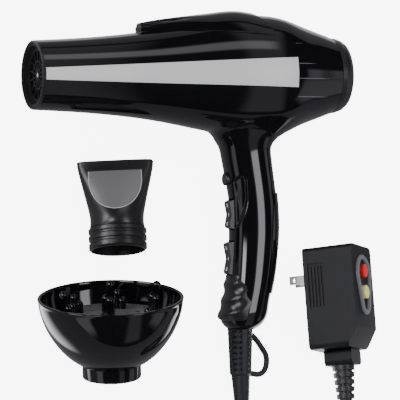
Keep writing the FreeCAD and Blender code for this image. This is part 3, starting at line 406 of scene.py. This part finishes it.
MATERIALS = {
    "gloss_black": new_material("gloss_black_plastic", (0.003, 0.003, 0.004), 0.05, bump=0.004),
    "satin_silver": new_material("satin_silver_paint", (0.5, 0.5, 0.515), 0.42, metallic=0.1),
    "satin_black": new_material("satin_black_plastic", (0.011, 0.011, 0.012), 0.3, bump=0.05),
    "soft_grey_black": new_material(
        "soft_dark_rubber", (0.014, 0.015, 0.019), 0.42, shine=0.25, bump=0.12,
    ),
    "switch_black": new_material("switch_plastic", (0.014, 0.014, 0.016), 0.34, bump=0.06),
    "inner_black": new_material("inner_plastic", (0.006, 0.006, 0.007), 0.42, bump=0.06),
    "mica": new_material("mica_sheet", (0.5, 0.43, 0.32), 0.5, bump=0.2),
    "heater_wire": new_material("heater_wire", (0.5, 0.47, 0.43), 0.4, metallic=0.5),
    "steel": new_material("bright_steel", (0.6, 0.6, 0.62), 0.3, metallic=0.6),
    "nickel": new_material("nickel_plate", (0.78, 0.77, 0.74), 0.2, metallic=0.5, bump=0.02),
    "cord_black": new_material("cord_sheath", (0.012, 0.012, 0.013), 0.42, bump=0.08),
    "plug_black": new_material("plug_plastic", (0.009, 0.0095, 0.011), 0.42, shine=0.16, bump=0.12),
    "bezel_grey": new_material("bezel_plastic", (0.11, 0.112, 0.125), 0.4, bump=0.06),
    "button_red": new_material("red_plastic", (0.5, 0.012, 0.014), 0.3),
    "button_yellow": new_material("yellow_plastic", (0.62, 0.57, 0.2), 0.3),
    "board_green": new_material("board_lacquer", (0.03, 0.14, 0.06), 0.35),
    "lead_white": new_material("lead_sheath", (0.7, 0.68, 0.62), 0.5),
    "panel_grey": new_material("panel_paint", (0.12, 0.12, 0.124), 0.4, bump=0.02),
    "plate_grey": new_material("plate_plastic", (0.09, 0.09, 0.095), 0.4, wear=0.3, bump=0.3),
    "filter_mesh": new_material("filter_wire", (0.25, 0.25, 0.26), 0.4, metallic=0.6),
}


def dress_cad_nodes():
    """Each CAD node in the material that its record names."""
    slots = {part["node"]: part["material_slot"] for part in frame["record"]["subparts"]}
    for name, node in NODES.items():
        if not node.material_slots:
            node.data.materials.append(MATERIALS[slots[name]])
        for material_slot in node.material_slots:
            material_slot.material = MATERIALS[slots[name]]


# ---------------------------------------------------------------- mesh helpers
def smooth_curve(pairs):
    """A natural cubic spline through (position, value) pairs."""
    knots, values = (np.array(column, float) for column in zip(*sorted(pairs)))
    gaps = np.diff(knots)
    slopes = np.diff(values) / gaps
    size = len(knots)
    system = np.eye(size)
    right_side = np.zeros(size)
    for row in range(1, size - 1):
        system[row, row - 1:row + 2] = gaps[row - 1], 2 * (gaps[row - 1] + gaps[row]), gaps[row]
        right_side[row] = 6 * (slopes[row] - slopes[row - 1])
    bends = np.linalg.solve(system, right_side)

    def value_at(position):
        position = np.clip(position, knots[0], knots[-1])
        index = np.clip(np.searchsorted(knots, position) - 1, 0, size - 2)
        gap = gaps[index]
        after = (position - knots[index]) / gap
        before = 1 - after
        curved = (before**3 - before) * bends[index] + (after**3 - after) * bends[index + 1]
        return before * values[index] + after * values[index + 1] + curved * gap**2 / 6

    return value_at


def straight_curve(pairs):
    """Straight runs through (position, value) pairs."""
    knots, values = zip(*sorted(pairs))
    return lambda position: np.interp(position, knots, values)


def smooth_share(value, low, high):
    share = np.clip((value - low) / (high - low), 0, 1)
    return share * share * (3 - 2 * share)


def grid_faces(rows, columns, closed=False):
    """Four-sided faces over rows of points, with the columns joined into rings if closed."""
    faces = []
    last = columns if closed else columns - 1
    for row in range(rows - 1):
        for column in range(last):
            after = (column + 1) % columns
            faces.append((
                row * columns + column, row * columns + after,
                (row + 1) * columns + after, (row + 1) * columns + column,
            ))
    return faces


def make_piece(name, points, faces, slot, body="dryer", place=to_row, replaced=()):
    """A mesh piece from points in one of the local frames."""
    mesh = bpy.data.meshes.new(name)
    mesh.from_pydata([place(*point) for point in points], [], faces)
    mesh.polygons.foreach_set("use_smooth", [True] * len(faces))
    mesh.update()
    piece = bpy.data.objects.new(name, mesh)
    bpy.context.scene.collection.objects.link(piece)
    mesh.materials.append(MATERIALS[slot])
    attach(piece, body)
    if replaced:
        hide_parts(*replaced)
    return piece


def add_wall(piece, thickness):
    """Give a skin its thickness, inwards, with crisp edges."""
    wall = piece.modifiers.new("wall", "SOLIDIFY")
    wall.thickness = thickness * MM
    wall.offset = -1
    split = piece.modifiers.new("edges", "EDGE_SPLIT")
    split.split_angle = math.radians(40)


# ---------------------------------------------------------------- the dryer's body
barrel_radius = smooth_curve(BARREL_OUTLINE)
seam_x = straight_curve(SEAM_CURVE)
handle_centre = smooth_curve([(z, centre) for z, centre, _, _ in HANDLE_STATIONS])
handle_depth = smooth_curve([(z, depth) for z, _, depth, _ in HANDLE_STATIONS])
handle_width = smooth_curve([(z, width) for z, _, _, width in HANDLE_STATIONS])


def barrel_distance(points):
    return np.hypot(points[:, 1], points[:, 2]) - barrel_radius(points[:, 0])


def handle_distance(points):
    """How far points are outside the handle, which ends a little below the barrel's axis."""
    x, y, z = points.T
    across = np.abs((x - handle_centre(z)) / handle_depth(z)) ** SQUARENESS
    along = np.abs(y / handle_width(z)) ** SQUARENESS
    return ((across + along) ** (1 / SQUARENESS) - 1) * handle_width(z) + np.maximum(z + 10, 0)


def body_distance(points):
    """How far points are outside the barrel and the handle, which run together in a fillet."""
    to_barrel, to_handle = barrel_distance(points), handle_distance(points)
    share = np.clip(0.5 + 0.5 * (to_handle - to_barrel) / FILLET, 0, 1)
    nearest = to_handle * (1 - share) + to_barrel * share
    return nearest - FILLET * share * (1 - share)


def body_slope(points):
    """Which way is straight out of the body, by small steps."""
    step = 0.05
    slope = np.zeros_like(points)
    for axis in range(3):
        shift = np.zeros(3)
        shift[axis] = step
        slope[:, axis] = (body_distance(points + shift) - body_distance(points - shift)) / (2 * step)
    return slope


def settle_on_body(points):
    """Move points along the slope until they lie on the body's skin."""
    for _ in range(6):
        slope = body_slope(points)
        size = np.maximum((slope**2).sum(axis=1), 0.2)
        points = points - slope * (body_distance(points) / size)[:, None]
    return points


def sunk(points, depth):
    """Points moved under the body's skin."""
    slope = body_slope(points)
    slope /= np.linalg.norm(slope, axis=1)[:, None]
    return points - slope * depth[:, None]


def scoop(points):
    """Sink the thumb recesses into both sides of the handle."""
    front = smooth_curve([(z, front) for z, front, _ in SCOOP])(points[:, 2])
    rear = smooth_curve([(z, rear) for z, _, rear in SCOOP])(points[:, 2])
    inside = np.minimum(points[:, 0] - front, rear - points[:, 0])
    inside = np.minimum(inside, np.minimum(SCOOP[0][0] - points[:, 2], points[:, 2] - SCOOP[-1][0]))
    return sunk(points, SCOOP_DEPTH * smooth_share(inside, 0.0, 2.8))


def barrel_grid(front_part):
    """Barrel points between the nose and the seam, or between the seam and the inlet."""
    columns = 200
    rows = 190 if front_part else 60
    angle = np.linspace(0, 2 * np.pi, columns, endpoint=False)
    points = []
    for share in np.linspace(0, 1, rows):
        x = np.full(columns, 0.0)
        for _ in range(6):
            seam = seam_x(barrel_radius(x) * np.sin(angle))
            if front_part:
                x = BARREL_FRONT + (seam - SEAM_GAP - BARREL_FRONT) * share
            else:
                x = seam + SEAM_GAP + (BARREL_REAR - seam - SEAM_GAP) * share
        radius = barrel_radius(x)
        points += list(zip(x, radius * np.cos(angle), radius * np.sin(angle)))
    return np.array(points), grid_faces(rows, columns, closed=True)


def handle_rows():
    """Heights of the handle's rows, with a row on each edge of the rocker windows."""
    breaks = [-20.0]
    for _, centre, half, _ in ROCKERS:
        breaks += [centre + half + ROCKER_GAP, centre - half - ROCKER_GAP]
    breaks += [-190.0]
    rows = []
    for start, end in zip(breaks, breaks[1:]):
        rows += list(np.linspace(start, end, max(2, int((start - end) / 0.7)), endpoint=False))
    return rows + [-190.0]


def in_window(z):
    return any(abs(z - centre) < half + ROCKER_GAP for _, centre, half, _ in ROCKERS)


def handle_grid(front_part):
    """Handle points ahead of the seam, with the rocker windows left open, or behind it."""
    heights = handle_rows()
    points = []
    for z in heights:
        centre, depth, width = handle_centre(z), handle_depth(z), handle_width(z)
        gap = -SEAM_GAP if front_part else SEAM_GAP
        reach = np.clip((seam_x(z) + gap - centre) / depth, 0.02, 0.985)
        seam = math.acos(reach ** (SQUARENESS / 2))
        if front_part:
            window = math.asin((ROCKER_WINDOW_HALF / width) ** (SQUARENESS / 2))
            angle = np.concatenate([
                np.linspace(seam, np.pi - window, SIDE_STEPS, endpoint=False),
                np.linspace(np.pi - window, np.pi + window, WINDOW_STEPS, endpoint=False),
                np.linspace(np.pi + window, 2 * np.pi - seam, SIDE_STEPS + 1),
            ])
        else:
            angle = np.linspace(-seam, seam, REAR_STEPS)
        cosine, sine = np.cos(angle), np.sin(angle)
        x = centre + depth * np.sign(cosine) * np.abs(cosine) ** (2 / SQUARENESS)
        y = width * np.sign(sine) * np.abs(sine) ** (2 / SQUARENESS)
        points += [(a, b, z) for a, b in zip(x, y)]
    columns = 2 * SIDE_STEPS + WINDOW_STEPS + 1 if front_part else REAR_STEPS
    faces = [face[::-1] for face in grid_faces(len(heights), columns)]
    if front_part:
        window_columns = range(SIDE_STEPS, SIDE_STEPS + WINDOW_STEPS)
        faces = [
            face for face in faces
            if min(index % columns for index in face) not in window_columns
            or not in_window(sum(heights[index // columns] for index in face) / 4)
        ]
    return np.array(points), faces


def body_part(name, front_part, replaced):
    """One shell: its share of the barrel and of the handle, each dipping under the other."""
    barrel_points, barrel_faces = barrel_grid(front_part)
    inside_handle = handle_distance(barrel_points) < -2.0
    inside_handle &= barrel_points[:, 2] < 0
    handle_points, handle_faces = handle_grid(front_part)
    inside_barrel = barrel_distance(handle_points) < -2.0
    points = np.concatenate([barrel_points, handle_points])
    dropped = np.concatenate([inside_handle, inside_barrel])
    offset = len(barrel_points)
    faces = barrel_faces + [tuple(index + offset for index in face) for face in handle_faces]
    faces = [face for face in faces if not dropped[list(face)].any()]
    points = settle_on_body(points)
    past_fold = handle_distance(points) - barrel_distance(points)
    past_fold[:offset] *= -1
    points = scoop(sunk(points, 0.8 * smooth_share(past_fold, 0.3, 2.0)))
    used = sorted({index for face in faces for index in face})
    order = {old: new for new, old in enumerate(used)}
    faces = [tuple(order[index] for index in face) for face in faces]
    piece = make_piece(name, points[used], faces, "gloss_black", replaced=replaced)
    add_wall(piece, WALL)
    return piece


def make_body():
    body_part("body_front_shell", True, ("front_shell",))
    body_part("body_rear_shell", False, ("rear_shell",))


# ---------------------------------------------------------------- trim, top cover and fine ribs
def make_trim(side, name, replaced):
    """The silver band, with a narrow raised border."""
    x_steps = [0.0, 0.0, 0.7, 1.0]
    raises = [-0.7, 0.16, 0.16, 0.05]
    length = TRIM_REAR[0] - TRIM_FRONT[0]
    field = list(np.linspace(4, length - 4, 70))
    x_places = x_steps + field + [length - step for step in x_steps[::-1]]
    x_raises = raises + [0.05] * len(field) + raises[::-1]
    points = []
    for place, x_raise in zip(x_places, x_raises):
        x = TRIM_FRONT[0] + place
        share = place / length
        low = TRIM_FRONT[1] + (TRIM_REAR[1] - TRIM_FRONT[1]) * share
        high = TRIM_FRONT[2] + (TRIM_REAR[2] - TRIM_FRONT[2]) * share
        inner = list(np.linspace(low + 1.6, high - 1.6, 8))
        heights = [low + step for step in x_steps] + inner + [high - step for step in x_steps[::-1]]
        z_raises = raises + [0.05] * len(inner) + raises[::-1]
        for z, z_raise in zip(heights, z_raises):
            radius = barrel_radius(x) + min(x_raise, z_raise)
            points.append((x, side * math.sqrt(radius**2 - z**2), z))
    faces = grid_faces(len(x_places), 16)
    piece = make_piece(name, points, faces, "satin_silver", replaced=replaced)
    split = piece.modifiers.new("edges", "EDGE_SPLIT")
    split.split_angle = math.radians(25)


def make_top_cover():
    """The cover on top of the barrel, fluted at its blunt front end."""
    half_at = smooth_curve([(x, half) for x, half, _, _ in FAIRING_STATIONS])
    edge_at = smooth_curve([(x, edge) for x, _, edge, _ in FAIRING_STATIONS])
    ridge_at = smooth_curve([(x, ridge) for x, _, _, ridge in FAIRING_STATIONS])
    rear_at = straight_curve(FAIRING_REAR)
    across = np.linspace(-1, 1, 97)
    front = FAIRING_STATIONS[0][0]
    points = []
    shares = [0.0, 0.0, 0.004] + list(np.linspace(0.01, 1, 100))
    for row, share in enumerate(shares):
        z = np.full(len(across), 40.0)
        for _ in range(6):
            x = front + (rear_at(z) - front) * share
            half, edge, ridge = half_at(x), edge_at(x), ridge_at(x)
            middle = (ridge**2 - edge**2 - half**2) / (2 * (ridge - edge))
            reach = np.arctan2(half, edge - middle) * 1.03
            angle = across * reach
            fade = 1 - smooth_share(x, -66.0, -34.0)
            flute = np.abs(np.sin(2.5 * np.pi * across)) ** 0.7
            radius = ridge - middle - 1.2 * fade * (1 - flute)
            if row == 0:
                radius = radius - 1.2
            if row == 1:
                radius = radius - 0.5
            z = middle + radius * np.cos(angle)
        points += list(zip(x, radius * np.sin(angle), z))
    faces = [face[::-1] for face in grid_faces(len(shares), len(across))]
    faces.append(tuple(range(len(across))))
    piece = make_piece("top_cover", points, faces, "gloss_black", replaced=("top_fairing",))
    add_wall(piece, 1.4)


def make_rear_ribs():
    """Fine raised lines that run back from the joint on both sides, in pale grey that paints their
    highlight.
    """
    for number, (z, end) in enumerate(REAR_RIBS):
        points = []
        places = np.linspace(RIB_START, end, 24)
        for x in places:
            taper = 1 - smooth_share(x, end - 14, end)
            for shift, raised in ((-0.4, -0.2), (0.0, 0.28 * taper + 0.02), (0.4, -0.2)):
                radius = barrel_radius(x) + raised
                points.append((x, -math.sqrt(radius**2 - (z + shift) ** 2), z + shift))
        faces = grid_faces(len(places), 3)
        mirrored = [(x, -y, height) for x, y, height in points]
        count = len(points)
        both = faces + [tuple(index + count for index in face) for face in faces]
        # The ribs' pale grey is a painted highlight: the real ribs are the same black plastic as the
        # shell.
        make_piece(f"painted_highlight_rear_rib_{number + 1}", points + mirrored, both, "bezel_grey")



# ---------------------------------------------------------------- grip and switches
def make_finger_grip():
    """The rubber grip low on the handle's front, with slanting waves."""
    heights = np.linspace(-148.5, -183.5, 90)
    edge_at = smooth_curve([(-148.0, -8.5), (-162.0, -4.6), (-176.0, -2.6), (-184.0, -7.5)])
    points = []
    for row, z in enumerate(heights):
        centre, depth, width = handle_centre(z), handle_depth(z), handle_width(z)
        edge = edge_at(z) + 1.3 * math.sin(2 * math.pi * (z + 150) / 11.6)
        reach = min(0.99, max(0.02, (centre - edge) / depth))
        half = math.acos(reach ** (SQUARENESS / 2))
        angle = np.pi + np.linspace(-half, half, 61)
        cosine, sine = np.cos(angle), np.sin(angle)
        x = centre + depth * np.sign(cosine) * np.abs(cosine) ** (2 / SQUARENESS)
        y = width * np.sign(sine) * np.abs(sine) ** (2 / SQUARENESS)
        rim = np.clip(np.minimum(np.arange(61), np.arange(61)[::-1]) / 4.0, 0, 1)
        rim = rim * min(1.0, row / 3, (len(heights) - 1 - row) / 3)
        slant = z - 0.45 * (x - centre + depth)
        wave = 0.5 + 0.5 * np.cos(2 * np.pi * (slant + 157.0) / 11.6)
        proud = (0.9 + 1.3 * wave**1.5) * rim - 0.4 * (1 - rim)
        points += [(a - raised, b * (1 + 0.012 * raised), z) for a, b, raised in zip(x, y, proud)]
    faces = grid_faces(len(heights), 61)
    make_piece("finger_grip_rubber", points, faces, "satin_black", replaced=("finger_grip",))


def rocker_face_x(front, half, proud, height):
    """Just off the rocker's concave face, at a height above or below its middle."""
    return front - 1.3 - (proud - 1.1) * min(1.0, abs(height) / (half - 3.2)) - 0.07


def make_rocker_marks():
    """Plain ring and dash marks on the faces of the rockers."""
    for name, centre, half, proud in ROCKERS:
        front = float(handle_centre(centre) - handle_depth(centre))
        points, faces = [], []
        for middle in (0.62 * half, -0.62 * half):
            first = len(points)
            for step in range(24):
                angle = 2 * math.pi * step / 24
                for radius in (0.75, 1.45):
                    height = middle + radius * math.sin(angle)
                    x = rocker_face_x(front, half, proud, height)
                    points.append((x, radius * math.cos(angle), centre + height))
            faces += [
                tuple(first + index for index in (
                    2 * step, 2 * step + 1, (2 * step + 3) % 48, (2 * step + 2) % 48,
                )) for step in range(24)
            ]
        first = len(points)
        for height in (-1.3, 0.0, 1.3):
            for y in (-0.55, 0.55):
                points.append((rocker_face_x(front, half, proud, height), y, centre + height))
        faces += [
            (first, first + 1, first + 3, first + 2),
            (first + 2, first + 3, first + 5, first + 4),
        ]
        make_piece(f"{name}_rocker_marks", points, faces, "lead_white", body=f"{name}_rocker")


def soften_edges():
    """Small rounded edges on the moulded CAD pieces."""
    widths = {
        "upper_rocker": 1.0, "lower_rocker": 1.0, "plug_collar": 0.6, "nozzle_body": 0.25,
        "inlet_cover": 0.3, "nose_ring": 0.15, "coil_tie": 0.5,
    }
    for name, width in widths.items():
        bevel = NODES[name].modifiers.new("soft_edges", "BEVEL")
        bevel.width = width * MM
        bevel.segments = 3
        bevel.limit_method = "ANGLE"
        bevel.angle_limit = math.radians(50)


# ---------------------------------------------------------------- plug and nozzle details
def hull_of_circles(top, top_radius, low, low_radius):
    """The closed outline, (y, z), round two circles on the plug's middle line."""
    lean = math.asin((top_radius - low_radius) / (top - low))
    points = []
    for middle, radius, start, end in (
        (top, top_radius, -lean, math.pi + lean), (low, low_radius, math.pi + lean, 2 * math.pi - lean),
    ):
        for angle in np.linspace(start, end, 25):
            points.append((middle + radius * math.sin(angle), radius * math.cos(angle)))
    return points


def make_bezel():
    """The raised frame round the plug's two buttons, wide at the top and narrow at the bottom."""
    rings = []
    for shrink, x in (
        (0.0, PLUG_DEPTH - 0.3), (0.0, PLUG_DEPTH + 1.4), (0.8, PLUG_DEPTH + 2.1),
        (2.6, PLUG_DEPTH + 2.1), (3.3, PLUG_DEPTH + 1.5), (3.4, PLUG_DEPTH + 0.05),
    ):
        outline = hull_of_circles(16.0, 15.2 - shrink, -5.0, 9.2 - shrink)
        rings.append([(x, y, z) for y, z in outline])
    count = len(rings[0])
    points = [point for ring in rings for point in ring]
    faces = grid_faces(len(rings), count, closed=True)
    piece = make_piece(
        "bezel_frame", points, faces, "bezel_grey", place=plug_to_row, replaced=("plug_bezel",),
    )
    split = piece.modifiers.new("edges", "EDGE_SPLIT")
    split.split_angle = math.radians(50)


def make_nozzle_lines():
    """The bright line round each arched panel of the nozzle."""
    half_x = smooth_curve([(z, half) for z, half, _, _ in NOZZLE_STATIONS])
    half_y = smooth_curve([(z, half) for z, _, half, _ in NOZZLE_STATIONS])
    power = straight_curve([(z, square) for z, _, _, square in NOZZLE_STATIONS])
    for side, name in ((-1, "upper"), (1, "lower")):
        line = []
        for angle in np.linspace(-0.16, math.pi + 0.16, 70):
            x = 19.6 * math.cos(angle)
            z = 52.4 - 24.4 * math.sin(angle) if 0 <= angle <= math.pi else 58.6
            if angle < 0:
                x, z = 19.6, 52.4 + 6.2 * (-angle / 0.16)
            if angle > math.pi:
                x, z = -19.6, 52.4 + 6.2 * ((angle - math.pi) / 0.16)
            share = max(0.0, 1 - abs(x / half_x(z)) ** power(z))
            line.append(Vector((x, side * (half_y(z) * share ** (1 / power(z)) + 0.05), z)))
        points = []
        for before, here, after in zip([line[0]] + line, line, line[1:] + [line[-1]]):
            way = (after - before).normalized()
            side_way = way.cross(Vector((0, 1, 0))).normalized()
            out_way = side_way.cross(way)
            for step in range(6):
                angle = 2 * math.pi * step / 6
                points.append(here + (side_way * math.cos(angle) + out_way * math.sin(angle)) * 0.28)
        faces = grid_faces(len(line), 6, closed=True)
        make_piece(
            f"nozzle_{name}_panel_line", points, faces, "satin_silver", body="nozzle",
            place=nozzle_to_row,
        )


def make_lathed(name, outline, replaced):
    """A piece turned round the diffuser's axis from an outline of (height, radius) pairs."""
    columns = 144
    points = []
    for z, radius in outline:
        for step in range(columns):
            angle = 2 * math.pi * step / columns
            points.append((radius * math.cos(angle), radius * math.sin(angle), z))
    make_piece(
        name, points, grid_faces(len(outline), columns, closed=True), "gloss_black",
        body="diffuser", place=diffuser_to_row, replaced=replaced,
    )


def make_diffuser():
    radius_at = smooth_curve(BOWL_OUTLINE)
    lift, inset = BOWL_WALL
    outside = [(z, radius_at(z)) for z in np.linspace(BOWL_FOOT, BOWL_RIM, 60)]
    inside = [(z, radius_at(z - lift) - inset) for z in np.linspace(58.8, 10.6, 60)]
    make_lathed("bowl_shell", outside + BOWL_LIP + inside, ("diffuser_bowl",))
    make_lathed("collar_ring", DIFFUSER_COLLAR, ("diffuser_collar",))


def paint_plate():
    """The plate in speckled grey, with its fingers left glossy black."""
    node = NODES["diffuser_plate"]
    node.data.materials.clear()
    node.data.materials.append(MATERIALS["gloss_black"])
    node.data.materials.append(MATERIALS["plate_grey"])
    axis = diffuser_to_row(0, 0, 1) - diffuser_to_row(0, 0, 0)
    axis.normalize()
    foot = diffuser_to_row(0, 0, 0)
    for face in node.data.polygons:
        height = (node.matrix_world @ face.center - foot).dot(axis) / MM
        face.material_index = int(height < PLATE_TOP + 0.1)


# ---------------------------------------------------------------- cord
def coil_points():
    """Six and a half turns, three side by side and two high, from the left side to the right."""
    per_turn = 14
    lanes = [0, 1, 1, 0, -1, -1, 0]
    levels = [0, 0, 1, 1, 1, 0, 1]
    points = []
    for step in range(int(6.5 * per_turn) + 1):
        turn = step / per_turn
        index = int(turn)
        before = max(index - 1, 0)
        share = min(1.0, (turn - index) * 2.5)
        lane = lanes[before] + (lanes[index] - lanes[before]) * share
        level = levels[before] + (levels[index] - levels[before]) * share
        angle = math.pi + 2 * math.pi * turn
        radius = COIL_RADIUS + lane * CORD_DIAMETER
        points.append((
            COIL_CENTRE[0] + radius * math.cos(angle), COIL_CENTRE[1] + radius * math.sin(angle),
            CORD_DIAMETER * (0.52 + level),
        ))
    return points


def make_cord():
    points = CORD_FROM_HANDLE + coil_points() + CORD_TO_PLUG
    curve = bpy.data.curves.new("power_cord", "CURVE")
    curve.dimensions = "3D"
    curve.bevel_depth = CORD_DIAMETER / 2
    curve.bevel_resolution = 6
    curve.resolution_u = 8
    curve.use_fill_caps = True
    spline = curve.splines.new("NURBS")
    spline.points.add(len(points) - 1)
    for target, point in zip(spline.points, points):
        target.co = (*point, 1)
    spline.order_u = 3
    spline.use_endpoint_u = True
    cord = bpy.data.objects.new("power_cord", curve)
    bpy.context.scene.collection.objects.link(cord)
    curve.materials.append(MATERIALS["cord_black"])
    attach(cord, "dryer")
    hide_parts("cord_from_handle", "cord_coil", "cord_to_plug")


set_camera()
set_world()
set_floor()
dress_cad_nodes()
make_body()
make_trim(-1, "trim_band_left", ("side_trim_left",))
make_trim(1, "trim_band_right", ("side_trim_right",))
make_top_cover()
make_rear_ribs()
make_finger_grip()
make_rocker_marks()
soften_edges()
make_bezel()
make_nozzle_lines()
make_diffuser()
paint_plate()
make_cord()
